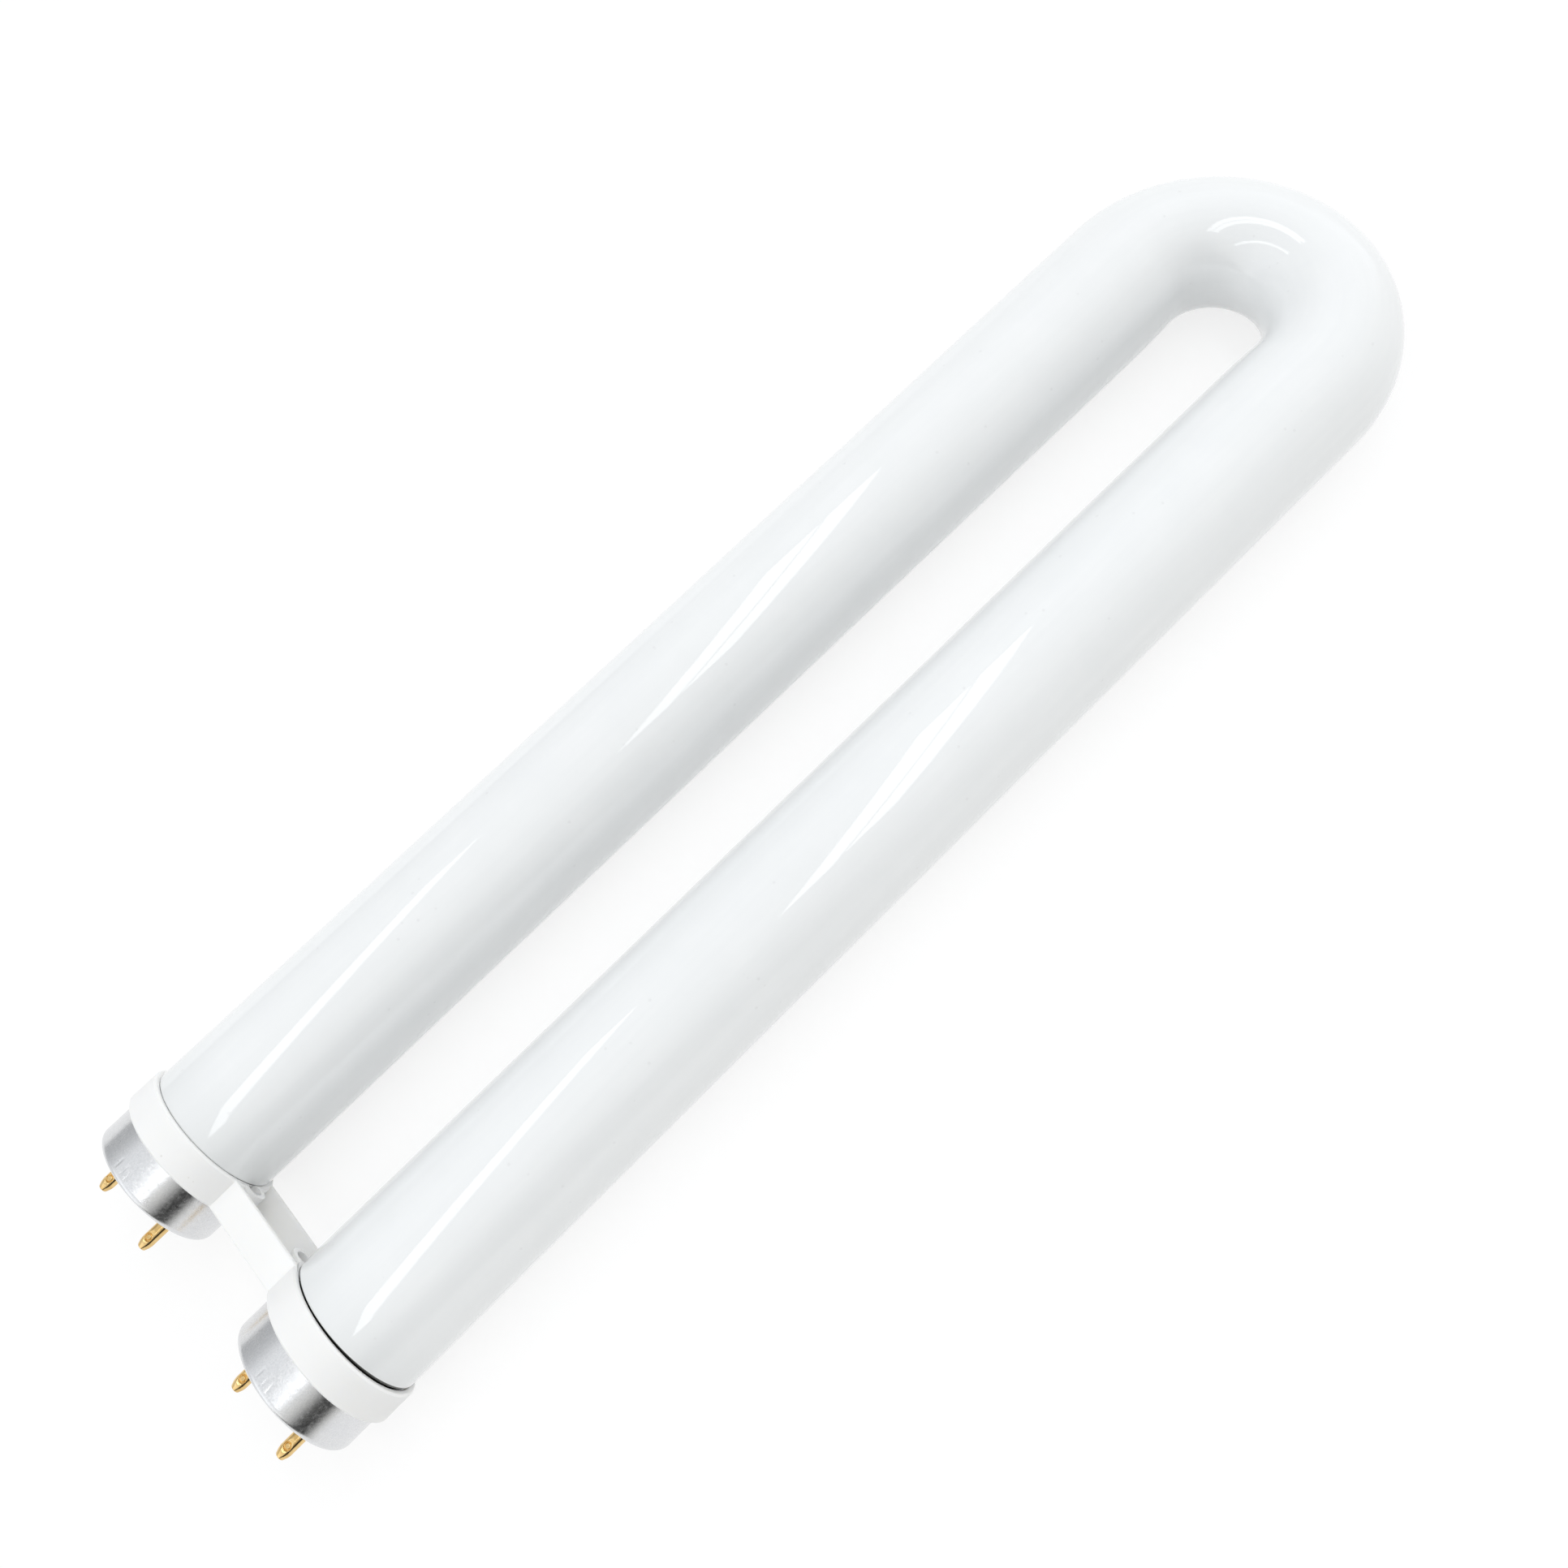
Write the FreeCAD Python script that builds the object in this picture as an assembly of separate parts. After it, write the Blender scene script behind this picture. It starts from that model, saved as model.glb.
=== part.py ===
import FreeCAD, Part
import math
import os

# U-shaped fluorescent lamp, lying flat. All sizes are in millimetres.
# X runs along the legs from the bases to the bend, Y runs across them and Z is up.

# Glass tube
TUBE_DIAMETER = 25.5
LEG_SPACING = 41.3          # between the axes of the two legs
LAMP_LENGTH = 271.0         # from the base faces to the outside of the bend
CROWN_NARROWING = 1.15      # how much radius the tube loses at the crown of the bend
NARROWING_LEAD = 10.0       # length of straight leg over which the narrowing starts
BEND_STEPS = 8              # equal turns that the half turn is drawn through

# Brace between the legs
BRACE_START = 7.2           # from the base face
BRACE_WIDTH = 5.8
COLLAR_WALL = 1.15
COLLAR_CLEARANCE = 0.05     # round the shell
COLLAR_CHAMFER = 0.3        # of the outer edges
COLLAR_MOUTH_CHAMFER = 0.2
BRIDGE_HEIGHT = 12.6
BRIDGE_WALL = 1.1
BRIDGE_WEB = 1.2
BRIDGE_INNER_RADIUS = 1.0
BRIDGE_EDGE_RADIUS = 0.3
BRIDGE_SINK = 0.4           # how deep the bridge is rooted in each collar
NOTCH_OUTSIDE = 1.05        # of the relief notch's middle outside the collar's bore
NOTCH_HEIGHT = 1.55         # of its middle over the plane of the tube's axis
NOTCH_HALF_LENGTH = 0.3
NOTCH_RADIUS = 1.2
NOTCH_WALL = 0.8
NOTCH_FLOOR = 1.3           # of plastic left under the notch

# Cap shell
SHELL_STEP = 0.35           # how much smaller its radius is than that of the tube
SHELL_WALL = 0.35
SHELL_RECESS = 0.2          # of its rim inside the brace's mouth
SHELL_CORNER_RADIUS = 1.0
CREASE_ANGLES = (-5.0, 0.5, 8.0)  # degrees from the top of the shell towards the left leg
CREASE_LENGTH = 2.2
CREASE_WIDTH = 0.5
CREASE_DEPTH = 0.12
CREASE_START = 1.1          # from the base face

# Contact pins
PIN_DIAMETER = 2.35
PIN_SPACING = 12.7
PIN_LENGTH = 7.5            # outside the base face
PIN_TIP_STEP = 0.425        # how much radius the blunt cone loses
PIN_CONE_LENGTH = 1.1
PIN_TIP_CHAMFER = 0.15
PIN_BORE_SPACE = 0.25       # round the wire
PIN_TIP_SPACE = 0.1         # round the wire at the tip
PIN_SHOULDER = 0.2          # how much thinner its shank in the plate is, in radius
PIN_FLANGE_LIP = 0.6        # how far the rivet flange stands out round the pin
PIN_FLANGE_THICKNESS = 0.4
PIN_CLEARANCE = 0.02
CRIMP_FROM_TIP = 2.3
CRIMP_SCOOP_RADIUS = 6.0
CRIMP_SCOOP_DEPTH = 0.16
CRIMP_RING_DIAMETER = 1.3
CRIMP_BUTTON_DIAMETER = 0.86
CRIMP_RING_DEPTH = 0.14

# Insulator plate
PLATE_THICKNESS = 1.3       # of the flange behind the shell's end
PLATE_CLEARANCE = 0.05
PLATE_MARGIN = 1.475        # of open plate outside the pins, in the opening of the shell
PLATE_EDGE_CHAMFER = 0.3    # of the step that fills the opening

# End of each leg, inside its cap
WIRE_ROOM = 2.55            # between the pins' flanges and the rim of the glass
CEMENT_GAP = 0.55           # between the neck of the glass and the shell
CEMENT_CLEARANCE = 0.03
CEMENT_BEHIND_RIM = 1.4
CEMENT_BEFORE_SHOULDER = 0.8
SHOULDER_LENGTH = 1.9
SHOULDER_OUTSIDE = 1.3      # how far the shoulder stands out of the shell's mouth
GLASS_RIM_WIDTH = 1.4
GLASS_RIM_BEVEL = 0.4
FLARE_THROAT_DIAMETER = 8.0
FLARE_LENGTH = 6.0
SEAL_DEPTH = 14.0           # from the rim of the glass to the pinched seal
EXHAUST_TIP_DIAMETER = 3.6
EXHAUST_TIP_LENGTH = 7.0
EXHAUST_TIP_TAPER = 1.2     # of radius, over the same length, where the tube was melted off

# Lead wires
WIRE_DIAMETER = 0.5
WIRE_TIP_RECESS = 0.1       # of the wire's end inside the pin's tip
WIRE_STRAIGHT = 2.6         # of wire behind the pin before it leans towards the seal

TUBE_RADIUS = TUBE_DIAMETER / 2
HALF_SPACING = LEG_SPACING / 2
BEND_CENTRE = LAMP_LENGTH - HALF_SPACING - TUBE_RADIUS
SHELL_RADIUS = TUBE_RADIUS - SHELL_STEP
SHELL_INSIDE = SHELL_RADIUS - SHELL_WALL
NECK_RADIUS = SHELL_INSIDE - CEMENT_GAP
COLLAR_BORE = SHELL_RADIUS + COLLAR_CLEARANCE
COLLAR_RADIUS = COLLAR_BORE + COLLAR_WALL
PIN_RADIUS = PIN_DIAMETER / 2
SHANK_RADIUS = PIN_RADIUS - PIN_SHOULDER
WIRE_RADIUS = WIRE_DIAMETER / 2
OPENING_RADIUS = PIN_SPACING / 2 + PIN_RADIUS + PLATE_MARGIN

BRACE_END = BRACE_START + BRACE_WIDTH
SHELL_END = BRACE_END - SHELL_RECESS
SHOULDER_END = SHELL_END + SHOULDER_OUTSIDE
SHOULDER_START = SHOULDER_END - SHOULDER_LENGTH
PLATE_BACK = SHELL_WALL + PLATE_THICKNESS
FLANGE_BACK = PLATE_BACK + PIN_FLANGE_THICKNESS
GLASS_END = FLANGE_BACK + WIRE_ROOM
SEAL_X = GLASS_END + SEAL_DEPTH
THROAT = (GLASS_END + FLARE_LENGTH, FLARE_THROAT_DIAMETER / 2)
SEAL_WIRE_OFFSET = (FLARE_THROAT_DIAMETER + EXHAUST_TIP_DIAMETER) / 4

# The origin is under the middle of the whole lamp, on the surface that it lies on.
BASE_FACE_X = -(LAMP_LENGTH - PIN_LENGTH) / 2
AXIS_HEIGHT = max(COLLAR_RADIUS, TUBE_RADIUS)

SIDES = {"left": 1, "right": -1}
PIN_PLACES = {"a": 1, "b": -1}     # pin a is on the left of its cap, pin b on the right


def line(a, b):
    """A straight edge between two (x, radius) points of a turned profile."""
    start = FreeCAD.Vector(a[0], 0, a[1])
    end = FreeCAD.Vector(b[0], 0, b[1])
    return Part.LineSegment(start, end).toShape()


def arc(a, middle, b):
    """A round edge through three (x, radius) points of a turned profile."""
    points = [FreeCAD.Vector(p[0], 0, p[1]) for p in (a, middle, b)]
    return Part.Arc(*points).toShape()


def corner(a, centre, b, radius):
    """A quarter round from a to b about its centre."""
    away_x = (a[0] + b[0]) / 2 - centre[0]
    away_r = (a[1] + b[1]) / 2 - centre[1]
    reach = radius / math.hypot(away_x, away_r)
    middle = (centre[0] + away_x * reach, centre[1] + away_r * reach)
    return arc(a, middle, b)


def outline(points):
    """Straight edges from each point to the next, and back to the first."""
    return [line(a, b) for a, b in zip(points, points[1:] + points[:1])]


def turned(edges):
    """A solid of revolution about the X axis."""
    face = Part.Face(Part.Wire(Part.__sortEdges__(edges)))
    return face.revolve(FreeCAD.Vector(0, 0, 0), FreeCAD.Vector(1, 0, 0), 360)


def on_leg(shape, side):
    """A copy of a shape made about the X axis, moved onto the axis of one leg."""
    return shape.translated(FreeCAD.Vector(0, SIDES[side] * HALF_SPACING, 0))


def rod(start, end, radius, y=0.0, z=0.0):
    """A plain cylinder along X."""
    return Part.makeCylinder(radius, end - start, FreeCAD.Vector(start, y, z), FreeCAD.Vector(1, 0, 0))


def shoulder_edges(start, end, low, high):
    """Two tangent arcs that lead from one radius to another, level at both ends."""
    half_run = (end - start) / 2
    half_rise = (high - low) / 2
    radius = (half_run ** 2 + half_rise ** 2) / (2 * half_rise)
    half_turn = math.asin(half_run / radius) / 2
    run = radius * math.sin(half_turn)
    rise = radius * (1 - math.cos(half_turn))
    middle = (start + half_run, low + half_rise)
    lower = arc((start, low), (start + run, low + rise), middle)
    upper = arc(middle, (end - run, high - rise), (end, high))
    return [lower, upper]


def glass_leg():
    """One straight leg, with its shoulder and neck and the re-entrant stem that closes its end."""
    straight_end = BEND_CENTRE - NARROWING_LEAD
    rim_inner = NECK_RADIUS - GLASS_RIM_WIDTH
    bevel_end = GLASS_END + GLASS_RIM_BEVEL
    tip_radius = EXHAUST_TIP_DIAMETER / 2
    tip_start = SEAL_X - EXHAUST_TIP_LENGTH
    end_outline = [
        (SHOULDER_START, NECK_RADIUS),
        (bevel_end, NECK_RADIUS),
        (GLASS_END, NECK_RADIUS - GLASS_RIM_BEVEL),
        (GLASS_END, rim_inner + GLASS_RIM_BEVEL),
        (bevel_end, rim_inner),
        THROAT,
        (SEAL_X, THROAT[1]),
        (SEAL_X, tip_radius),
        (tip_start + EXHAUST_TIP_TAPER, tip_radius),
        (tip_start, tip_radius - EXHAUST_TIP_TAPER),
        (tip_start, 0),
        (straight_end, 0),
        (straight_end, TUBE_RADIUS),
        (SHOULDER_END, TUBE_RADIUS),
    ]
    edges = [line(a, b) for a, b in zip(end_outline, end_outline[1:])]
    edges += shoulder_edges(SHOULDER_START, SHOULDER_END, NECK_RADIUS, TUBE_RADIUS)
    return turned(edges)


def narrowing(path, half_path):
    """Radius lost at a distance along the tube from the crown of the bend."""
    return CROWN_NARROWING * (1 + math.cos(math.pi * path / half_path)) / 2


def bend_section(path, half_path):
    """The round section at a signed distance along the tube from the crown.

    The outside of the bend stays true to the plain half circle, so a narrower section sits further out.
    """
    loss = narrowing(abs(path), half_path)
    half_turn = math.pi / 2 * HALF_SPACING
    reach = HALF_SPACING + loss
    turn = max(-half_turn, min(half_turn, path)) / HALF_SPACING
    lead = abs(path) - abs(turn) * HALF_SPACING
    centre = FreeCAD.Vector(BEND_CENTRE + reach * math.cos(turn) - lead, reach * math.sin(turn), 0)
    circle = Part.makeCircle(TUBE_RADIUS - loss, FreeCAD.Vector(0, 0, 0), FreeCAD.Vector(1, 0, 0))
    circle.rotate(FreeCAD.Vector(0, 0, 0), FreeCAD.Vector(0, 0, 1), math.degrees(turn) + 90)
    circle.translate(centre)
    return Part.Wire(circle)


def glass_bend():
    """The half turn with its narrowed crown, and the straight leads on both sides of it.

    It takes the most skill of anything here. The tube is bent while it is soft and held open from inside,
    so the crown narrows smoothly, while the outside stays a true half circle and both legs stay parallel.
    """
    half_turn = math.pi / 2 * HALF_SPACING
    half_path = half_turn + NARROWING_LEAD
    turns = [half_turn * (1 - 2 * i / BEND_STEPS) for i in range(BEND_STEPS + 1)]
    paths = [half_path] + turns + [-half_path]
    sections = [bend_section(p, half_path) for p in paths]
    solid, ruled, closed, degree = True, False, False, 3
    return Part.makeLoft(sections, solid, ruled, closed, degree)


def glass_tube():
    """The sealed discharge tube: two legs and the bend in one piece of glass."""
    leg = glass_leg()
    legs = [on_leg(leg, side) for side in SIDES]
    return glass_bend().multiFuse(legs).removeSplitter()


def crease_cutter(angle):
    """A lens-shaped cutter for one shallow crease along the shell, at an angle from its top."""
    radius = (CREASE_LENGTH ** 2 / 4 + CREASE_DEPTH ** 2) / (2 * CREASE_DEPTH)
    half_width = CREASE_WIDTH / 2
    across = FreeCAD.Vector(0, 1, 0)
    place = FreeCAD.Vector(CREASE_START + CREASE_LENGTH / 2, 0, SHELL_RADIUS - CREASE_DEPTH + radius)
    near = Part.makeCone(radius - CREASE_DEPTH, radius, half_width, place - across * half_width, across)
    far = Part.makeCone(radius, radius - CREASE_DEPTH, half_width, place, across)
    cutter = near.fuse(far)
    cutter.rotate(FreeCAD.Vector(0, 0, 0), FreeCAD.Vector(1, 0, 0), -angle)
    return cutter


def cap_shell():
    """A drawn aluminium cup with a round opening in its end and staking creases above and below the pins."""
    turn_radius = SHELL_RADIUS - SHELL_CORNER_RADIUS
    rim_start = (SHELL_CORNER_RADIUS, SHELL_RADIUS)
    edges = [
        line((SHELL_END, SHELL_RADIUS), rim_start),
        corner(rim_start, (SHELL_CORNER_RADIUS, turn_radius), (0, turn_radius), SHELL_CORNER_RADIUS),
        line((0, turn_radius), (0, OPENING_RADIUS)),
        line((0, OPENING_RADIUS), (SHELL_WALL, OPENING_RADIUS)),
        line((SHELL_WALL, OPENING_RADIUS), (SHELL_WALL, turn_radius)),
        line((SHELL_WALL, turn_radius), (SHELL_CORNER_RADIUS, SHELL_INSIDE)),
        line((SHELL_CORNER_RADIUS, SHELL_INSIDE), (SHELL_END, SHELL_INSIDE)),
        line((SHELL_END, SHELL_INSIDE), (SHELL_END, SHELL_RADIUS)),
    ]
    cutters = [crease_cutter(angle + half) for angle in CREASE_ANGLES for half in (0, 180)]
    return turned(edges).cut(cutters)


def insulator_plate():
    """The stepped disc that closes the shell's end from inside and carries the two pins."""
    step_radius = OPENING_RADIUS - PLATE_CLEARANCE
    edge_radius = SHELL_INSIDE - PLATE_CLEARANCE
    plate = turned(outline([
        (0, 0),
        (0, step_radius - PLATE_EDGE_CHAMFER),
        (PLATE_EDGE_CHAMFER, step_radius),
        (SHELL_WALL, step_radius),
        (SHELL_WALL, SHELL_RADIUS - SHELL_CORNER_RADIUS - PLATE_CLEARANCE),
        (SHELL_CORNER_RADIUS + PLATE_CLEARANCE, edge_radius),
        (PLATE_BACK, edge_radius),
        (PLATE_BACK, 0),
    ]))
    holes = [
        rod(-PLATE_BACK, 2 * PLATE_BACK, SHANK_RADIUS + PIN_CLEARANCE, place * PIN_SPACING / 2)
        for place in PIN_PLACES.values()
    ]
    return plate.cut(holes)


def crimp_cutters(up):
    """The scoop and the ring that a crimping tool presses into one side of a pin."""
    place = FreeCAD.Vector(CRIMP_FROM_TIP - PIN_LENGTH, 0, 0)
    scoop_height = PIN_RADIUS - CRIMP_SCOOP_DEPTH + CRIMP_SCOOP_RADIUS
    scoop_start = place + FreeCAD.Vector(0, -PIN_DIAMETER, up * scoop_height)
    scoop = Part.makeCylinder(CRIMP_SCOOP_RADIUS, 2 * PIN_DIAMETER, scoop_start, FreeCAD.Vector(0, 1, 0))
    ring_floor = PIN_RADIUS - CRIMP_SCOOP_DEPTH - CRIMP_RING_DEPTH
    ring_start = place + FreeCAD.Vector(0, 0, up * ring_floor)
    outward = FreeCAD.Vector(0, 0, up)
    ring = Part.makeCylinder(CRIMP_RING_DIAMETER / 2, PIN_DIAMETER, ring_start, outward)
    button = Part.makeCylinder(CRIMP_BUTTON_DIAMETER / 2, PIN_DIAMETER, ring_start, outward)
    return [scoop, ring.cut(button)]


def contact_pin(place):
    """A hollow brass pin, crimped on its wire. It stands on the plate and its shank is riveted behind it."""
    tip_radius = PIN_RADIUS - PIN_TIP_STEP
    flange_radius = PIN_RADIUS + PIN_FLANGE_LIP
    bore_radius = WIRE_RADIUS + PIN_BORE_SPACE
    cone_end = PIN_CONE_LENGTH - PIN_LENGTH
    pin = turned(outline([
        (-PIN_LENGTH, WIRE_RADIUS + PIN_TIP_SPACE),
        (-PIN_LENGTH, tip_radius - PIN_TIP_CHAMFER),
        (PIN_TIP_CHAMFER - PIN_LENGTH, tip_radius),
        (cone_end, PIN_RADIUS),
        (0, PIN_RADIUS),
        (0, SHANK_RADIUS),
        (PLATE_BACK, SHANK_RADIUS),
        (PLATE_BACK, flange_radius),
        (FLANGE_BACK, flange_radius),
        (FLANGE_BACK, bore_radius),
        (cone_end, bore_radius),
    ]))
    pin = pin.cut(crimp_cutters(1) + crimp_cutters(-1))
    return pin.translated(FreeCAD.Vector(0, PIN_PLACES[place] * PIN_SPACING / 2, 0))


def lead_wire(place):
    """The wire from the pinched seal of the stem through the bore of one pin to its tip."""
    side = PIN_PLACES[place]
    pin_y = side * PIN_SPACING / 2
    seal_y = side * SEAL_WIRE_OFFSET
    start = FreeCAD.Vector(WIRE_TIP_RECESS - PIN_LENGTH, pin_y, 0)
    behind_pin = FreeCAD.Vector(FLANGE_BACK + WIRE_STRAIGHT, pin_y, 0)
    in_throat = FreeCAD.Vector(THROAT[0], seal_y, 0)
    end = FreeCAD.Vector(SEAL_X, seal_y, 0)
    path = Part.makePolygon([start, behind_pin, in_throat, end])
    section = Part.Wire(Part.makeCircle(WIRE_RADIUS, start, FreeCAD.Vector(1, 0, 0)))
    solid, frenet, sharp_bends = True, False, 1
    return path.makePipeShell([section], solid, frenet, sharp_bends)


def base_cement():
    """The ring of capping cement between the neck of the glass and the shell."""
    start = GLASS_END + CEMENT_BEHIND_RIM
    end = SHOULDER_START - CEMENT_BEFORE_SHOULDER
    inner_radius = NECK_RADIUS + CEMENT_CLEARANCE
    outer_radius = SHELL_INSIDE - CEMENT_CLEARANCE
    return turned(outline([
        (start, inner_radius),
        (start, outer_radius),
        (end, outer_radius),
        (end, inner_radius),
    ]))


def collar():
    """One plain ring of the brace before it is bored, with its outer edges broken."""
    low = COLLAR_RADIUS - COLLAR_CHAMFER
    return turned(outline([
        (BRACE_START, 0),
        (BRACE_START, low),
        (BRACE_START + COLLAR_CHAMFER, COLLAR_RADIUS),
        (BRACE_END - COLLAR_CHAMFER, COLLAR_RADIUS),
        (BRACE_END, low),
        (BRACE_END, 0),
    ]))


def collar_bore():
    """The cutter for a collar's bore, which opens in a small chamfer at its mouth."""
    mouth_radius = COLLAR_BORE + COLLAR_MOUTH_CHAMFER
    outside = BRACE_END + BRACE_WIDTH
    return turned(outline([
        (BRACE_START - BRACE_WIDTH, 0),
        (BRACE_START - BRACE_WIDTH, COLLAR_BORE),
        (BRACE_END - COLLAR_MOUTH_CHAMFER, COLLAR_BORE),
        (BRACE_END, mouth_radius),
        (outside, mouth_radius),
        (outside, 0),
    ]))


def rounded_corner(before, point, after, radius):
    """Start, middle and end of the arc that rounds the corner at a point."""
    back = (before - point).normalize()
    ahead = (after - point).normalize()
    half_angle = back.getAngle(ahead) / 2
    reach = radius / math.tan(half_angle)
    inward = (back + ahead).normalize()
    middle = point + inward * (radius / math.sin(half_angle) - radius)
    return point + back * reach, middle, point + ahead * reach


def bridge():
    """The channel between the collars: two walls and a web, open towards the bend."""
    top = BRIDGE_HEIGHT / 2
    inner_top = top - BRIDGE_WALL
    web_x = BRACE_START + BRIDGE_WEB
    corners = [
        (BRACE_START, -top, BRIDGE_EDGE_RADIUS),
        (BRACE_END, -top, BRIDGE_EDGE_RADIUS),
        (BRACE_END, -inner_top, BRIDGE_EDGE_RADIUS),
        (web_x, -inner_top, BRIDGE_INNER_RADIUS),
        (web_x, inner_top, BRIDGE_INNER_RADIUS),
        (BRACE_END, inner_top, BRIDGE_EDGE_RADIUS),
        (BRACE_END, top, BRIDGE_EDGE_RADIUS),
        (BRACE_START, top, BRIDGE_EDGE_RADIUS),
    ]
    points = [FreeCAD.Vector(x, -HALF_SPACING, z) for x, z, radius in corners]
    count = len(points)
    arcs = [
        rounded_corner(points[i - 1], points[i], points[(i + 1) % count], corners[i][2])
        for i in range(count)
    ]
    edges = [Part.Arc(*a).toShape() for a in arcs]
    edges += [Part.LineSegment(arcs[i - 1][2], arcs[i][0]).toShape() for i in range(count)]
    section = Part.Face(Part.Wire(Part.__sortEdges__(edges)))
    channel = section.extrude(FreeCAD.Vector(0, LEG_SPACING, 0))
    root = rod(BRACE_START - BRACE_WIDTH, BRACE_END + BRACE_WIDTH, COLLAR_RADIUS - BRIDGE_SINK)
    return channel.cut([on_leg(root, side) for side in SIDES])


def notch_bar(start, end, radius, side):
    """An oval bar along X, where a collar's relief notch lies beside the bridge."""
    y = SIDES[side] * (HALF_SPACING - COLLAR_BORE - NOTCH_OUTSIDE)
    upper = rod(start, end, radius, y, NOTCH_HEIGHT + NOTCH_HALF_LENGTH)
    lower = rod(start, end, radius, y, NOTCH_HEIGHT - NOTCH_HALF_LENGTH)
    corner_point = FreeCAD.Vector(start, y - radius, NOTCH_HEIGHT - NOTCH_HALF_LENGTH)
    middle = Part.makeBox(end - start, 2 * radius, 2 * NOTCH_HALF_LENGTH, corner_point)
    return upper.multiFuse([lower, middle]).removeSplitter()


def leg_brace():
    """The moulded brace that ties the two legs together over their caps."""
    ring = collar()
    root_x = BRACE_START + BRIDGE_WEB / 2
    solid_parts = [on_leg(ring, side) for side in SIDES]
    solid_parts += [notch_bar(root_x, BRACE_END, NOTCH_RADIUS + NOTCH_WALL, side) for side in SIDES]
    body = bridge().multiFuse(solid_parts)
    bore = collar_bore()
    cutters = [on_leg(bore, side) for side in SIDES]
    notch_start = BRACE_START + NOTCH_FLOOR
    cutters += [notch_bar(notch_start, BRACE_END + BRACE_WIDTH, NOTCH_RADIUS, side) for side in SIDES]
    return body.cut(cutters).removeSplitter()


def in_place(shape):
    """A copy moved from the lamp's base face and axis plane to the part's own frame."""
    return shape.translated(FreeCAD.Vector(BASE_FACE_X, 0, AXIS_HEIGHT))


def all_parts():
    """Every piece of the lamp by its node name."""
    parts = {"glass_tube": glass_tube(), "leg_brace": leg_brace()}
    for side in SIDES:
        parts["cap_shell_" + side] = on_leg(cap_shell(), side)
        parts["base_cement_" + side] = on_leg(base_cement(), side)
        parts["insulator_plate_" + side] = on_leg(insulator_plate(), side)
        for place in PIN_PLACES:
            name = side + "_" + place
            parts["contact_pin_" + name] = on_leg(contact_pin(place), side)
            parts["lead_wire_" + name] = on_leg(lead_wire(place), side)
    return parts


os.makedirs("parts", exist_ok=True)
for node, shape in all_parts().items():
    in_place(shape).exportStep("parts/" + node + ".step")
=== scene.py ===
import math
import bmesh
import bpy
from mathutils import Matrix, Vector


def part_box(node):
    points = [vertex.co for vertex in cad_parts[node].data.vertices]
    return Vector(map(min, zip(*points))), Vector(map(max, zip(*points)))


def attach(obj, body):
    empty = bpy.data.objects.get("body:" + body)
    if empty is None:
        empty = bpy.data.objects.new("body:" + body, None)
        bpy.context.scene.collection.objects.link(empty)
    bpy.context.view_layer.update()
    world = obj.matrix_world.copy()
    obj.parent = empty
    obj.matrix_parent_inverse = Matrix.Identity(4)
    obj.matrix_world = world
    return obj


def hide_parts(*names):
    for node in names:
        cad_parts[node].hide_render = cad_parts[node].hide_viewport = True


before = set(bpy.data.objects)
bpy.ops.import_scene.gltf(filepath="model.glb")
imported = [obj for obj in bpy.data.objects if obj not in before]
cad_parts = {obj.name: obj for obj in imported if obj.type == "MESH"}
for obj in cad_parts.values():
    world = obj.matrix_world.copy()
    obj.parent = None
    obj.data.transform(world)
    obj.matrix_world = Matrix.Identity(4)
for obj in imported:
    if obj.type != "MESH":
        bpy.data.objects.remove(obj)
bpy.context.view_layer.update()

# Glass tube
# A soda-lime glass tube, coated inside with white powder and bent hot into a U. It is necked at both ends
# to pass into the caps, and a flared glass stem that carries the wires is fused into each end.
# The outside of the half turn stays true to a half circle, and the tube thins a little at its crown.
mm = 0.001
touching = 0.002 * mm
shell_low, shell_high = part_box("cap_shell_left")
tube_low, tube_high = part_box("glass_tube")
base_x = shell_low.x
leg_y = (shell_low.y + shell_high.y) / 2
axis_z = (shell_low.z + shell_high.z) / 2
tube_radius = axis_z - tube_low.z
bend_x = tube_high.x - leg_y - tube_radius
crown_loss = 1.15 * mm
taper_length = 10.0 * mm
taper_rings = 6
tapered_path = math.pi / 2 * leg_y + taper_length
round_steps, bend_steps = 144, 36

# One end in profile, in millimetres from the base face and from the axis.
neck, full_width = 11.5, 12.75
exhaust_tip = [(11.6, 0.0), (11.6, 0.6), (12.8, 1.8), (18.6, 1.8)]
stem = [(18.6, 4.0), (10.6, 4.0), (5.0, 10.1)]
fused_lip = [(4.6, 10.5), (4.6, 11.1), (5.0, neck)]
shoulder = [(12.75, neck), (13.3, full_width)]
straight_start = 20.0
shoulder_low, shoulder_high = 12.2 * mm, 14.0 * mm
outside_stem = 11.0 * mm
left_seat = 0.22 * mm


def join_points(bm, points, closed=False):
    """Draw a profile through points, each in millimetres from the base face and from the axis."""
    verts = [bm.verts.new((x * mm, 0, r * mm)) for x, r in points]
    for a, b in zip(verts, verts[1:] + verts[:1] if closed else verts[1:]):
        bm.edges.new((a, b))


def round_corners(bm, corners):
    """Round corners of a profile, each given by its point, the width of its rounding and its steps."""
    for x, r, width, steps in corners:
        corner = [
            v for v in bm.verts if abs(v.co.x - x * mm) < touching and abs(v.co.z - r * mm) < touching
        ]
        bmesh.ops.bevel(
            bm, geom=corner, offset=width * mm, segments=steps, profile=0.5, affect="VERTICES",
            material=-1,
        )


def turn_on_axis(bm, steps):
    """Turn the profile once round the X axis."""
    bmesh.ops.spin(
        bm, geom=bm.verts[:] + bm.edges[:], cent=(0, 0, 0), axis=(1, 0, 0), angle=2 * math.pi, steps=steps,
        use_merge=True, use_duplicate=False,
    )
    bmesh.ops.remove_doubles(bm, verts=bm.verts[:], dist=touching / 2)


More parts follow.
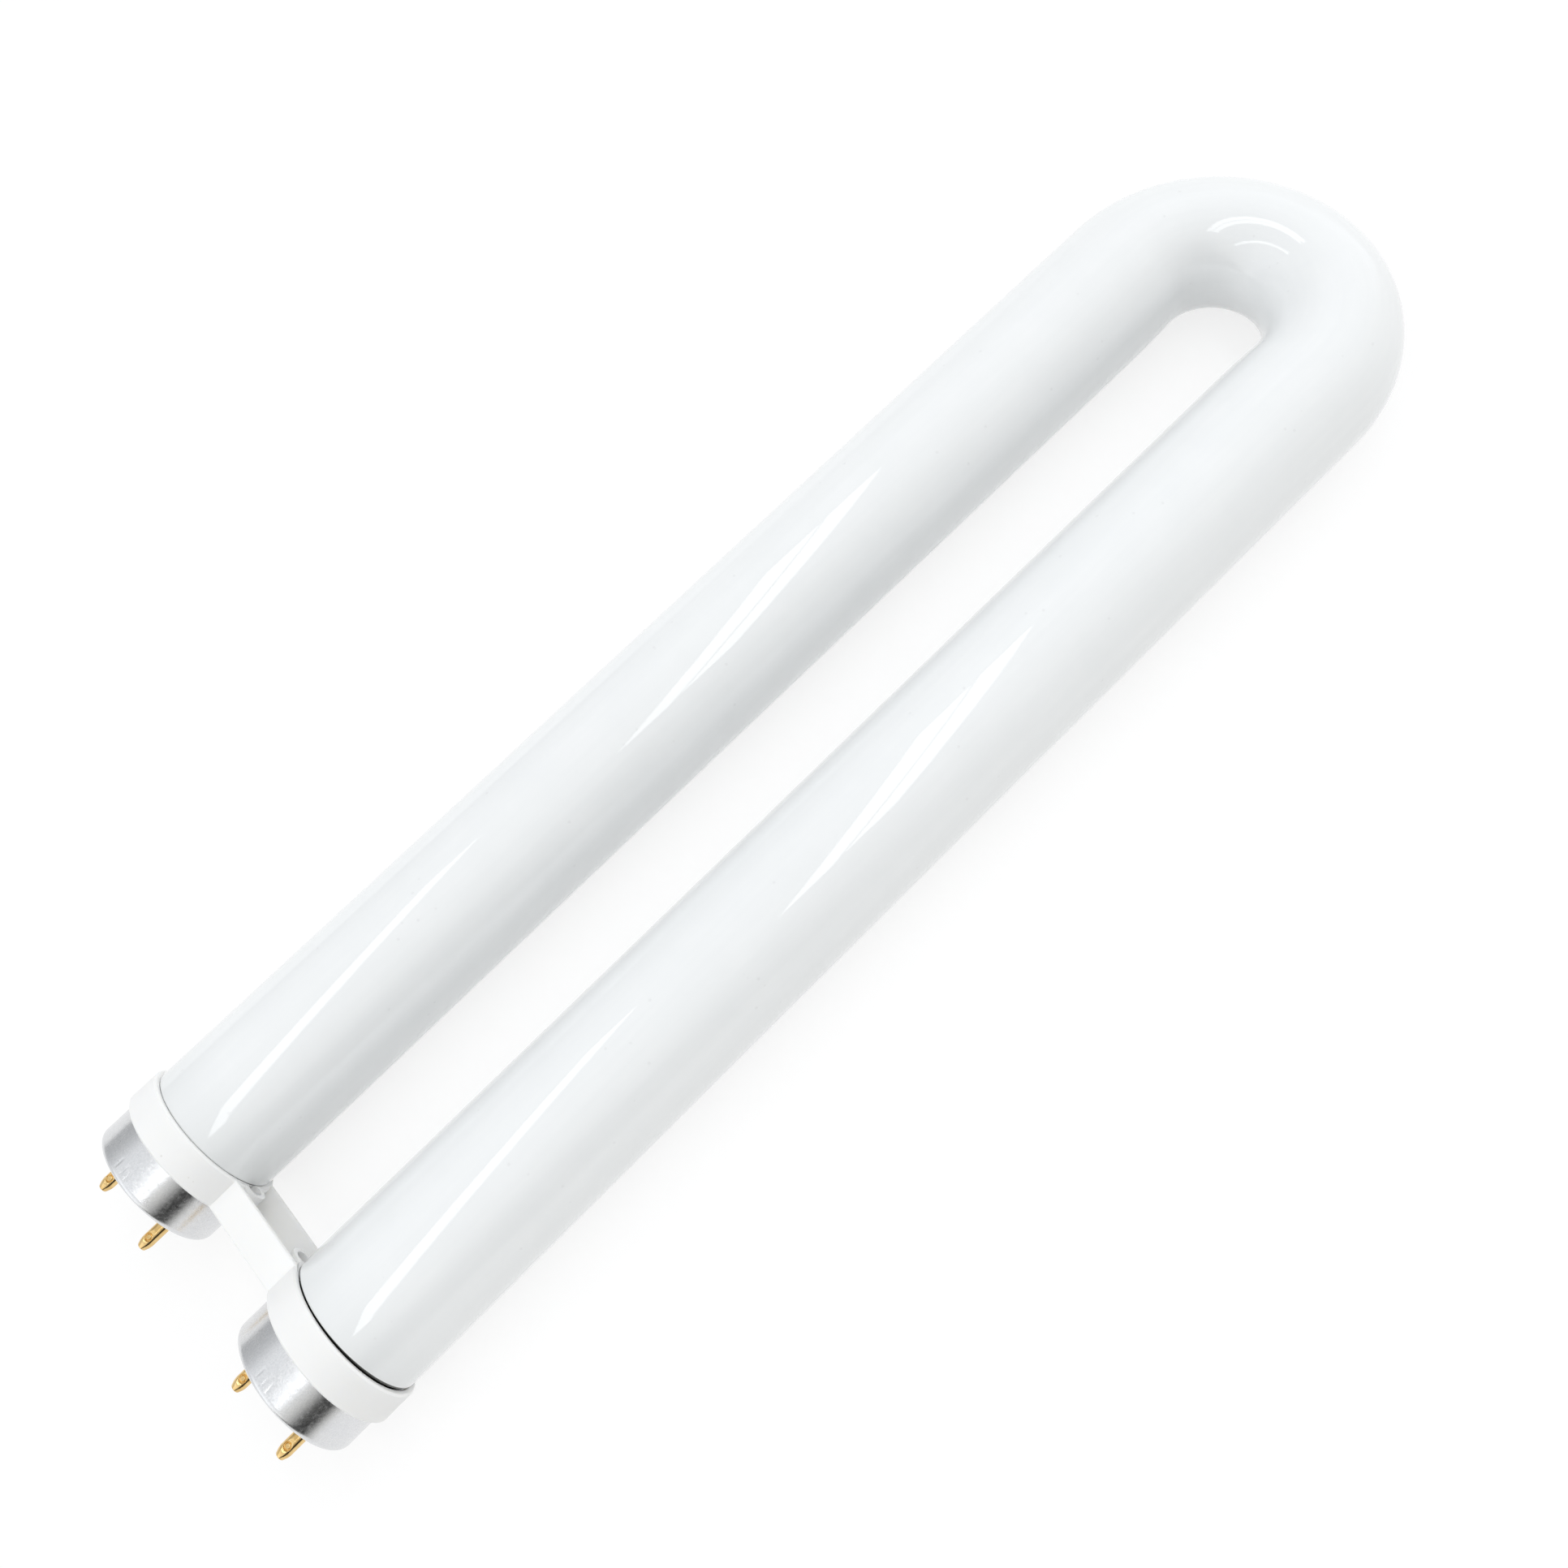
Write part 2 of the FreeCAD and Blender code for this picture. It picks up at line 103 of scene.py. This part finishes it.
def move_to(bm, x, y, z):
    """Move everything in a bmesh by a distance in metres."""
    bmesh.ops.translate(bm, vec=(x, y, z), verts=bm.verts[:])


def open_edges(bm, at_x):
    """The edges round an open end of the tube."""
    return [
        e for e in bm.edges if e.is_boundary and all(abs(v.co.x - at_x) < touching for v in e.verts)
    ]


def make_piece(bm, name, sharp_angle=35):
    """Make a piece of a bmesh, smooth but for edges sharper than an angle in degrees."""
    bmesh.ops.recalc_face_normals(bm, faces=bm.faces[:])
    for face in bm.faces:
        face.smooth = True
    mesh = bpy.data.meshes.new(name)
    bm.to_mesh(mesh)
    bm.free()
    mesh.set_sharp_from_angle(angle=math.radians(sharp_angle))
    piece = bpy.data.objects.new(name, mesh)
    bpy.context.scene.collection.objects.link(piece)
    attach(piece, "root")
    return piece


tube = bmesh.new()
join_points(tube, [*exhaust_tip, *stem, *fused_lip, *shoulder, (straight_start, full_width)])
round_corners(tube, [
    (*shoulder[0], 0.3, 6), (*shoulder[1], 0.3, 8), (*stem[0], 0.5, 6), (*stem[1], 1.5, 8),
])
turn_on_axis(tube, round_steps)
move_to(tube, base_x, leg_y, axis_z)
ring_x = base_x + straight_start * mm
for run in [bend_x - taper_length - ring_x] + [taper_length / taper_rings] * taper_rings:
    drawn_out = bmesh.ops.extrude_edge_only(tube, edges=open_edges(tube, ring_x))["geom"]
    ring = [v for v in drawn_out if isinstance(v, bmesh.types.BMVert)]
    bmesh.ops.translate(tube, vec=(run, 0, 0), verts=ring)
    ring_x += run
bend_start = open_edges(tube, bend_x)
bmesh.ops.spin(
    tube, geom=bend_start + list({v for e in bend_start for v in e.verts}), cent=(bend_x, 0, axis_z),
    axis=(0, 0, 1), angle=-math.pi / 2, steps=bend_steps, use_merge=False, use_duplicate=False,
)
left_half = tube.verts[:] + tube.edges[:] + tube.faces[:]
bmesh.ops.mirror(tube, geom=left_half, matrix=Matrix.Identity(4), merge_dist=touching, axis="Y")

# Each point keeps its place on the straight tube for the coating, and the tube thins towards the crown.
# The left leg's shoulder reaches a little further into its collar.
straight_place = tube.verts.layers.float_vector.new("straight_place")
for vert in tube.verts:
    side = 1 if vert.co.y >= 0 else -1
    from_base = vert.co.x - base_x
    before_bend = max(0.0, bend_x - vert.co.x)
    turn = side * math.pi / 2 if before_bend else math.atan2(vert.co.y, vert.co.x - bend_x)
    outward = Vector((math.cos(turn), math.sin(turn), 0))
    centre = Vector((bend_x - before_bend, 0, axis_z)) + outward * leg_y
    across = vert.co - centre
    path = abs(turn) * leg_y + before_bend
    vert[straight_place] = (side * path, across.dot(outward), across.z)
    if path < tapered_path:
        loss = crown_loss * (1 + math.cos(math.pi * path / tapered_path)) / 2
        vert.co = centre + outward * loss + across * (1 - loss / tube_radius)
    elif side == 1 and shoulder_low < from_base < shoulder_high and across.length > outside_stem:
        vert.co.x -= left_seat
glass = make_piece(tube, "coated_glass_tube")


def add_node(tree, kind, feeds=None, props=None, **values):
    """Add a shader node. Feeds are sockets linked to its inputs, and values are set on its inputs."""
    made = tree.nodes.new(kind)
    for key, value in (props or {}).items():
        setattr(made, key, value)
    for key, value in values.items():
        made.inputs[key.replace("_", " ")].default_value = value
    for key, source in (feeds or {}).items():
        tree.links.new(source, made.inputs[key])
    return made


def calculate(tree, operation, *sockets):
    """The result of one operation on one or two sockets."""
    feeds = dict(enumerate(sockets))
    return add_node(tree, "ShaderNodeMath", feeds, {"operation": operation}).outputs[0]


def graded(tree, value, start, end, low=0.0, high=1.0, smooth=True):
    """A number that goes from low to high while a value goes from start to end."""
    curve = {"interpolation_type": "SMOOTHSTEP" if smooth else "LINEAR"}
    made = add_node(
        tree, "ShaderNodeMapRange", {"Value": value}, curve,
        From_Min=start, From_Max=end, To_Min=low, To_Max=high,
    )
    return made.outputs["Result"]


def new_finish(name, **values):
    """A new material with its shader, whose plain values are set on the shader's own sockets."""
    material = bpy.data.materials.new(name)
    material.use_nodes = True
    shader = material.node_tree.nodes["Principled BSDF"]
    for key, value in values.items():
        shader.inputs[key.replace("_", " ")].default_value = value
    return material, material.node_tree, shader


def new_group(name, inputs):
    """A node group that takes a place and some numbers, and gives one value."""
    group = bpy.data.node_groups.new(name, "ShaderNodeTree")
    group.interface.new_socket("Place", in_out="INPUT", socket_type="NodeSocketVector")
    for label in inputs:
        group.interface.new_socket(label, in_out="INPUT", socket_type="NodeSocketFloat")
    group.interface.new_socket("Value", in_out="OUTPUT", socket_type="NodeSocketFloat")
    return group, add_node(group, "NodeGroupInput").outputs


# Cloudy: a soft uneven change between two values, as powder, mouldings and rolled metal show.
cloudy, given = new_group("cloudy", ("Scale", "Low", "High"))
cloud = add_node(
    cloudy, "ShaderNodeTexNoise", {"Vector": given["Place"], "Scale": given["Scale"]},
    Detail=4.0, Roughness=0.6,
)
spread = add_node(
    cloudy, "ShaderNodeMapRange",
    {"Value": cloud.outputs["Fac"], "To Min": given["Low"], "To Max": given["High"]},
    From_Min=0.3, From_Max=0.7,
)
add_node(cloudy, "NodeGroupOutput", {"Value": spread.outputs["Result"]})

# Specks: small round spots, more of them as Amount rises, as dust, pits and grit show.
specks, given = new_group("specks", ("Scale", "Amount"))
cells = add_node(
    specks, "ShaderNodeTexVoronoi", {"Vector": given["Place"], "Scale": given["Scale"]}, Randomness=1.0,
)
one_in_many = add_node(specks, "ShaderNodeSeparateColor", {"Color": cells.outputs["Color"]}).outputs["Red"]
chosen = calculate(specks, "LESS_THAN", one_in_many, given["Amount"])
spot = graded(specks, cells.outputs["Distance"], 0.12, 0.34, 1.0, 0.0)
add_node(specks, "NodeGroupOutput", {"Value": calculate(specks, "MULTIPLY", chosen, spot)})


def from_group(tree, group, place, **values):
    """The value of one use of a group at a place."""
    used = add_node(tree, "ShaderNodeGroup", props={"node_tree": group}, **values)
    tree.links.new(place, used.inputs["Place"])
    return used.outputs["Value"]


def mix_colours(tree, factor, first, second):
    """A mix of two colours, each a colour or a socket."""
    mix = add_node(tree, "ShaderNodeMix", props={"data_type": "RGBA"})
    tree.links.new(factor, mix.inputs[0])
    for socket, colour in ((mix.inputs[6], first), (mix.inputs[7], second)):
        if isinstance(colour, tuple):
            socket.default_value = (*colour, 1)
        else:
            tree.links.new(colour, socket)
    return mix.outputs[2]


def clouded(tree, place, scale, first, second):
    """Two colours that pass softly into each other over a piece."""
    return mix_colours(tree, from_group(tree, cloudy, place, Scale=scale, Low=0, High=1), first, second)


def speckled(tree, place, scale, amount, colour, speck):
    """A colour with small specks of another."""
    return mix_colours(tree, from_group(tree, specks, place, Scale=scale, Amount=amount), colour, speck)


def vary_roughness(tree, shader, place, scale, low, high):
    """Let the roughness of a finish change softly over a piece."""
    roughness = from_group(tree, cloudy, place, Scale=scale, Low=low, High=high)
    tree.links.new(roughness, shader.inputs["Roughness"])


powder_white, powder_bright = (0.880, 0.895, 0.899), (0.905, 0.917, 0.92)
powder_streak = (0.865, 0.88, 0.885)
powder_grain = (0.83, 0.84, 0.845)
# A greyer powder, used on the stretch of glass towards each cap.
powder_grey_towards_cap = (0.76, 0.78, 0.78)
# Near black: painted shade in the slit past the collar's mouth, over glass bare of powder.
shoulder_painted_shade = (0.035, 0.035, 0.03)
glass_finish, tree, shader = new_finish(
    "glass_over_powder", Coat_Weight=1.0, Coat_Roughness=0.04, Coat_IOR=1.52, Specular_IOR_Level=0.25,
)
on_tube = add_node(
    tree, "ShaderNodeAttribute", props={"attribute_name": "straight_place"},
).outputs["Vector"]
drawn_along = add_node(tree, "ShaderNodeMapping", {"Vector": on_tube}, Scale=(0.05, 1, 1)).outputs["Vector"]
powder = clouded(tree, on_tube, 140, powder_white, powder_bright)
streaks = from_group(tree, cloudy, drawn_along, Scale=600, Low=0, High=0.6)
powder = mix_colours(tree, streaks, powder, powder_streak)
powder = speckled(tree, on_tube, 900, 0.02, powder, powder_grain)
tube_place = add_node(tree, "ShaderNodeSeparateXYZ", {"Vector": on_tube}).outputs
reach = calculate(tree, "ABSOLUTE", tube_place["X"])
base_path = math.pi / 2 * leg_y + bend_x - base_x
# The powder turns greyer over the stretch just past the collar, towards the cap.
towards_cap = graded(tree, reach, base_path - 26 * mm, base_path - 12.5 * mm, high=0.35)
powder = mix_colours(tree, towards_cap, powder, powder_grey_towards_cap)

# Past the collar's mouth the shoulder is painted near black: painted shade in the slit between collar and
# glass, where the glass is also bare of powder.
# The painted shade is wider towards the right, the shaded side, where the tube also sits a little off the
# middle of its collar, and it is hardly seen on the left leg.
which_leg = calculate(tree, "SIGN", tube_place["X"])
to_left = calculate(tree, "MULTIPLY", which_leg, tube_place["Y"])
painted_shade_width = graded(tree, to_left, tube_radius, -tube_radius, high=0.75 * mm, smooth=False)
less_on_left = graded(tree, which_leg, -1.0, 1.0, high=-0.55 * mm, smooth=False)
painted_shade_width = calculate(tree, "ADD", painted_shade_width, less_on_left)
past_mouth = calculate(tree, "ADD", reach, painted_shade_width)
slit_painted_shade = graded(tree, past_mouth, base_path - 13.0 * mm, base_path - 12.88 * mm)
powder = mix_colours(tree, slit_painted_shade, powder, shoulder_painted_shade)
tree.links.new(powder, shader.inputs["Base Color"])
vary_roughness(tree, shader, on_tube, 400, 0.45, 0.55)
glass.data.materials.append(glass_finish)
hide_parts("glass_tube")

# Lead wires
# Nickel-plated iron wires of half a millimetre. Each is sealed in the stem's glass and runs through the
# bore of its pin, where the pin is crimped on it, and it is cut off flush just inside the pin's tip.
sides = {"left": 1, "right": -1}
pin_sides = {"a": 1, "b": -1}


def object_place(tree, scale=(1, 1, 1)):
    """The place on a piece in metres, stretched by a scale."""
    place = add_node(tree, "ShaderNodeTexCoord").outputs["Object"]
    return add_node(tree, "ShaderNodeMapping", {"Vector": place}, Scale=scale).outputs["Vector"]


wire_finish, tree, shader = new_finish("nickel_plated_wire", Metallic=1.0)
place = object_place(tree, (0.1, 1, 1))
nickel = clouded(tree, place, 9000, (0.52, 0.50, 0.47), (0.70, 0.68, 0.64))
tree.links.new(nickel, shader.inputs["Base Color"])
vary_roughness(tree, shader, place, 6000, 0.25, 0.45)
for name in sides:
    for pin in pin_sides:
        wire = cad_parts["lead_wire_%s_%s" % (name, pin)]
        wire.data.materials.clear()
        wire.data.materials.append(wire_finish)

# Cap shells
# Cups drawn from thin aluminium sheet and tumbled to a satin finish, with a round opening in the end.
# A tool presses three short creases above the pins and three below them to lock the insulator plate.
shell_length, shell_radius, sheet, opening = 12.8, 12.4, 0.35, 9.0
shell_inside = shell_radius - sheet
shell_steps = 540
crease_angles = (-5.0, 0.5, 8.0)
crease_start, crease_length, crease_width, crease_depth = 1.1, 2.2, 0.5, 0.06
press_rows = [(3.45 - 0.15 * row, shell_radius) for row in range(17)]


def crease_depth_at(x, angle):
    """Depth of the creases in millimetres at a distance from the base face and an angle from the top."""
    along = (x - crease_start) / crease_length * 2 - 1
    deepest = 0.0
    for centre in crease_angles:
        off_centre = math.radians(abs(angle - centre)) * shell_radius / (crease_width / 2)
        if abs(along) < 1 and off_centre < 1:
            deepest = max(deepest, crease_depth * (1 - along ** 2) * (1 - off_centre ** 2))
    return deepest


def raise_grain(tree, shader, place, scale, depth):
    """A fine grain in the surface, of a depth in metres."""
    height = from_group(tree, cloudy, place, Scale=scale, Low=0, High=1)
    bump = add_node(tree, "ShaderNodeBump", {"Height": height}, Strength=1.0, Distance=depth)
    tree.links.new(bump.outputs["Normal"], shader.inputs["Normal"])


grain_dark, grain_light = (0.675, 0.68, 0.69), (0.795, 0.797, 0.80)
metal_cloud = (0.675, 0.69, 0.72)
pit = (0.5, 0.5, 0.51)
shell_finish, tree, shader = new_finish("satin_aluminium", Metallic=1.0)
place = object_place(tree)
metal = clouded(tree, place, 3600, grain_dark, grain_light)
metal = mix_colours(tree, from_group(tree, cloudy, place, Scale=350, Low=0, High=0.35), metal, metal_cloud)
metal = speckled(tree, place, 2400, 0.012, metal, pit)
tree.links.new(metal, shader.inputs["Base Color"])
vary_roughness(tree, shader, place, 1800, 0.18, 0.3)
raise_grain(tree, shader, place, 3600, 1.5e-6)
for name, side in sides.items():
    cup = bmesh.new()
    join_points(cup, [
        (shell_length, shell_inside), (shell_length, shell_radius), (8.0, shell_radius), *press_rows,
        (0.0, shell_radius), (0.0, opening), (sheet, opening), (sheet, shell_inside),
    ], closed=True)
    round_corners(cup, [
        (0.0, shell_radius, 1.0, 8), (sheet, shell_inside, 0.6, 4), (0.0, opening, 0.08, 3),
        (shell_length, shell_radius, 0.1, 3),
    ])
    turn_on_axis(cup, shell_steps)
    for vert in cup.verts:
        if vert.co.x > 1.0 * mm and vert.co.yz.length > (shell_radius - 0.1) * mm:
            above = 1 if vert.co.z > 0 else -1
            angle = math.degrees(math.atan2(above * vert.co.y, above * vert.co.z))
            vert.co.yz *= 1 - crease_depth_at(vert.co.x / mm, angle) / shell_radius
    move_to(cup, base_x, side * leg_y, axis_z)
    shell = make_piece(cup, "cap_shell_" + name + "_drawn")
    shell.data.materials.append(shell_finish)
    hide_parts("cap_shell_" + name)

# Insulator plates
# Round plates stamped from pressed insulating board. Each closes its shell from inside, fills the opening
# with a raised step, and carries the two pins, which are riveted into it.
plate_edge = 0.03 * mm


def merged_copy(node, name, soft_edge):
    """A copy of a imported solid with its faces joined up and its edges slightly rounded."""
    bm = bmesh.new()
    bm.from_mesh(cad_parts[node].data)
    bmesh.ops.remove_doubles(bm, verts=bm.verts[:], dist=touching / 2)
    bmesh.ops.dissolve_limit(bm, angle_limit=math.radians(1), verts=bm.verts[:], edges=bm.edges[:])
    piece = make_piece(bm, name)
    rounding = piece.modifiers.new("soft_edges", "BEVEL")
    rounding.width = soft_edge
    rounding.segments = 2
    rounding.limit_method = "ANGLE"
    rounding.angle_limit = math.radians(35)
    rounding.harden_normals = True
    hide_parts(node)
    return piece


plate_finish, tree, shader = new_finish("pressed_board")
place = object_place(tree)
board = clouded(tree, place, 900, (0.66, 0.66, 0.63), (0.74, 0.74, 0.72))
board = speckled(tree, place, 2200, 0.12, board, (0.5, 0.49, 0.46))
tree.links.new(board, shader.inputs["Base Color"])
vary_roughness(tree, shader, place, 1500, 0.5, 0.7)
raise_grain(tree, shader, place, 3000, 8e-6)
for name in sides:
    plate = merged_copy("insulator_plate_" + name, "insulator_plate_" + name + "_board", plate_edge)
    plate.data.materials.append(plate_finish)

# Contact pins
# Hollow brass pins turned from tube, with a blunt nose. A punch scoops the pin flat above and below and
# squeezes it onto its wire, which leaves a round button inside a ring in the middle of each flat.
pin_radius, shank_radius, flange_radius, bore = 1.175, 0.975, 1.775, 0.5
pin_offset = 6.35 * mm
nose = [(-6.4, bore), (-7.5, 0.35), (-7.5, 0.75), (-6.4, pin_radius)]
crimp_rows = [(-5.93 + 0.06 * row, pin_radius) for row in range(39)]
shank = [(0.0, pin_radius), (0.0, shank_radius), (1.65, shank_radius)]
rivet_flange = [(1.65, flange_radius), (2.05, flange_radius), (2.05, bore)]
crimp_x, crimp_reach = -5.2, (-6.7, -3.6)
scoop_radius, scoop_floor = 6.0, 1.015
ring_radius, ring_width, ring_depth = 0.56, 0.22, 0.24


def punch(bm):
    """Press the scoop, the ring and its button into the upper and lower side of a pin."""
    for vert in bm.verts:
        x, y, z = (c / mm for c in vert.co)
        if not crimp_reach[0] < x < crimp_reach[1] or math.hypot(y, z) < 1.0:
            continue
        floor = scoop_floor + scoop_radius - math.sqrt(scoop_radius ** 2 - (x - crimp_x) ** 2)
        off_ring = abs(math.hypot(x - crimp_x, y) - ring_radius) / ring_width
        if off_ring < 1:
            floor -= ring_depth * (1 + math.cos(math.pi * off_ring)) / 2
        if abs(z) > floor:
            vert.co.z = math.copysign(floor, z) * mm


pin_finish, tree, shader = new_finish("polished_brass", Metallic=1.0)
place = object_place(tree)
turned = object_place(tree, (4.0, 1, 1))
brass = clouded(tree, place, 700, (0.66, 0.44, 0.17), (0.86, 0.64, 0.32))
brass = speckled(tree, place, 4500, 0.05, brass, (0.50, 0.30, 0.10))
tree.links.new(brass, shader.inputs["Base Color"])
vary_roughness(tree, shader, turned, 2500, 0.08, 0.2)
raise_grain(tree, shader, turned, 4000, 2e-6)
for name, side in sides.items():
    for pin, pin_side in pin_sides.items():
        body = bmesh.new()
        join_points(body, [*nose, *crimp_rows, *shank, *rivet_flange], closed=True)
        round_corners(body, [
            (*nose[2], 0.2, 4), (*nose[3], 0.45, 9), (*rivet_flange[0], 0.1, 3), (*rivet_flange[1], 0.1, 3),
        ])
        turn_on_axis(body, 120)
        punch(body)
        move_to(body, base_x, side * leg_y + pin_side * pin_offset, axis_z)
        contact = make_piece(body, "contact_pin_%s_%s_brass" % (name, pin), sharp_angle=50)
        contact.data.materials.append(pin_finish)
        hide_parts("contact_pin_%s_%s" % (name, pin))

# Base cement
# A ring of capping cement, a filled resin that is baked with the cap on the tube. It holds the neck of
# the glass in the shell.
cement_finish, tree, shader = new_finish("capping_cement")
place = object_place(tree)
cement = clouded(tree, place, 1200, (0.50, 0.44, 0.34), (0.62, 0.57, 0.47))
cement = speckled(tree, place, 2500, 0.3, cement, (0.36, 0.30, 0.22))
tree.links.new(cement, shader.inputs["Base Color"])
vary_roughness(tree, shader, place, 2000, 0.75, 0.95)
raise_grain(tree, shader, place, 2500, 3e-5)
for name in sides:
    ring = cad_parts["base_cement_" + name]
    ring.data.materials.clear()
    ring.data.materials.append(cement_finish)

# Leg brace
# One injection moulding in white plastic: two collars that are pushed over the caps, and a channel between
# them that is open towards the bend. A cored relief notch lies beside the channel in each collar.
brace_edge = 0.12 * mm
brace = merged_copy("leg_brace", "leg_brace_moulded", brace_edge)
brace_finish, tree, shader = new_finish(
    "moulded_white_plastic",
    Subsurface_Weight=0.35, Subsurface_Radius=(1.0, 0.95, 0.85), Subsurface_Scale=1.2 * mm,
)
place = object_place(tree)
plastic = clouded(tree, place, 120, (0.93, 0.926, 0.908), (0.95, 0.946, 0.932))
plastic = speckled(tree, place, 1500, 0.006, plastic, (0.80, 0.79, 0.76))
tree.links.new(plastic, shader.inputs["Base Color"])
vary_roughness(tree, shader, place, 500, 0.36, 0.5)
raise_grain(tree, shader, place, 1600, 5e-6)
brace.data.materials.append(brace_finish)

# Studio
# A wide sheet of white paper as the floor, a pale room, and the two fixtures of strip lamps overhead whose
# images run along the glass.
paper = bmesh.new()
bmesh.ops.create_grid(paper, x_segments=1, y_segments=1, size=4.0)
floor_mesh = bpy.data.meshes.new("floor")
paper.to_mesh(floor_mesh)
paper.free()
floor = bpy.data.objects.new("floor", floor_mesh)
bpy.context.scene.collection.objects.link(floor)


def seen_rays(tree, kinds):
    """One where a ray is of one of the given kinds."""
    rays = add_node(tree, "ShaderNodeLightPath").outputs
    seen = rays[kinds[0]]
    for kind in kinds[1:]:
        seen = calculate(tree, "MAXIMUM", seen, rays[kind])
    return seen


floor_finish = bpy.data.materials.new("white_paper")
floor_finish.use_nodes = True
tree = floor_finish.node_tree
tree.nodes.remove(tree.nodes["Principled BSDF"])
seen = seen_rays(tree, ("Is Camera Ray", "Is Glossy Ray", "Is Transmission Ray"))
pulp = clouded(tree, object_place(tree), 900, (0.94, 0.94, 0.935), (0.96, 0.96, 0.955))
lit = add_node(tree, "ShaderNodeBsdfDiffuse", {"Color": pulp})
shaded = add_node(tree, "ShaderNodeBsdfDiffuse", Color=(0.27, 0.27, 0.27, 1))
white = add_node(tree, "ShaderNodeEmission", Color=(1, 1, 1, 1), Strength=0.75)
backdrop = add_node(tree, "ShaderNodeAddShader", {0: shaded.outputs[0], 1: white.outputs[0]})
surface = add_node(tree, "ShaderNodeMixShader", {0: seen, 1: lit.outputs[0], 2: backdrop.outputs[0]})
tree.links.new(surface.outputs[0], tree.nodes["Material Output"].inputs["Surface"])
floor_mesh.materials.append(floor_finish)

# How bright the room is at each angle from overhead, in degrees, with the right leg's side below zero. Its
# low dark stretch, which the caps mirror as their dark band, ends towards the bend.
wall_levels = {
    -90: 1.15, -84: 0.8, -77: 0.04, -58: 0.03, -52: 0.38, -45: 0.76, -36: 1.04, -20: 1.1, 4: 1.14,
    20: 1.17, 36: 1.24, 44: 1.1, 52: 0.9, 68: 0.72, 84: 0.68, 90: 0.5,
}
warm_white, cool_white = (1.0, 0.995, 0.965), (0.965, 0.982, 1.0)
room = bpy.data.worlds.new("pale_room")
bpy.context.scene.world = room
room.use_nodes = True
tree = room.node_tree
direction = add_node(tree, "ShaderNodeTexCoord").outputs["Generated"]
parts = add_node(tree, "ShaderNodeSeparateXYZ", {"Vector": direction}).outputs
from_top = calculate(tree, "ARCTAN2", parts["Y"], parts["Z"])
across_room = graded(tree, from_top, -math.pi / 2, math.pi / 2, smooth=False)
walls = add_node(tree, "ShaderNodeValToRGB", {"Fac": across_room})
stops = walls.color_ramp.elements
stops.remove(stops[0])
for angle, level in wall_levels.items():
    stop = stops[-1] if angle == 90 else stops.new((angle + 90) / 180)
    tint = warm_white if angle < -30 else cool_white
    stop.color = (*(level * part for part in tint), 1)
far_wall = graded(tree, parts["X"], -0.1, 0.2, high=0.85, smooth=False)
lit_walls = add_node(
    tree, "ShaderNodeVectorMath", {0: walls.outputs["Color"], 1: far_wall}, {"operation": "MAXIMUM"},
).outputs[0]
to_either_end = calculate(tree, "ABSOLUTE", parts["X"])
brighter_ends = graded(tree, to_either_end, 0.0, 1.0, 0.575, 1.27, smooth=False)
lit_room = tree.nodes["Background"]
tree.links.new(lit_walls, lit_room.inputs["Color"])
tree.links.new(brighter_ends, lit_room.inputs["Strength"])
behind = add_node(tree, "ShaderNodeBackground", Color=(1, 1, 1, 1), Strength=1.0)
whole_room = add_node(
    tree, "ShaderNodeMixShader",
    {0: seen_rays(tree, ("Is Camera Ray",)), 1: lit_room.outputs[0], 2: behind.outputs[0]},
)
tree.links.new(whole_room.outputs[0], tree.nodes["World Output"].inputs["Surface"])
lamp_height, lamp_level = 0.7, 3.2


def strip_lamp(name, start, end, width):
    """A level strip lamp between two points on the plan of the room."""
    start, end = Vector((*start, lamp_height)), Vector((*end, lamp_height))
    data = bpy.data.lights.new(name, "AREA")
    data.shape = "RECTANGLE"
    data.size = width
    data.size_y = (end - start).length
    data.energy = lamp_level * math.pi * data.size * data.size_y
    lamp = bpy.data.objects.new(name, data)
    lamp.location = (start + end) / 2
    lamp.rotation_euler = (0, 0, math.atan2(start.x - end.x, end.y - start.y))
    bpy.context.scene.collection.objects.link(lamp)


strip_lamp("single_strip", (-0.387, -0.33), (-0.113, 0.39), 0.056)
strip_lamp("double_strip_near", (0.049, -0.32), (0.213, 0.289), 0.054)
strip_lamp("double_strip_far", (0.113, -0.32), (0.277, 0.289), 0.054)

# Camera
# It looks down on the lamp from beside the caps, as the photograph does.
camera = bpy.data.objects.new("camera", bpy.data.cameras.new("camera"))
bpy.context.scene.collection.objects.link(camera)
rightward = Vector((0.71869, -0.67392, -0.17119)).normalized()
ahead = Vector((0.13571, 0.37742, -0.91605)).normalized()
upward = rightward.cross(ahead)
camera.matrix_world = Matrix((
    (rightward.x, upward.x, -ahead.x, -0.042107),
    (rightward.y, upward.y, -ahead.y, -0.081320),
    (rightward.z, upward.z, -ahead.z, 0.235502),
    (0, 0, 0, 1),
))
camera.data.sensor_width = 36
camera.data.lens = 31.478
camera.data.shift_x = 0.03784
camera.data.shift_y = -0.03697
bpy.context.scene.camera = camera
bpy.context.scene.view_settings.view_transform = "Standard"
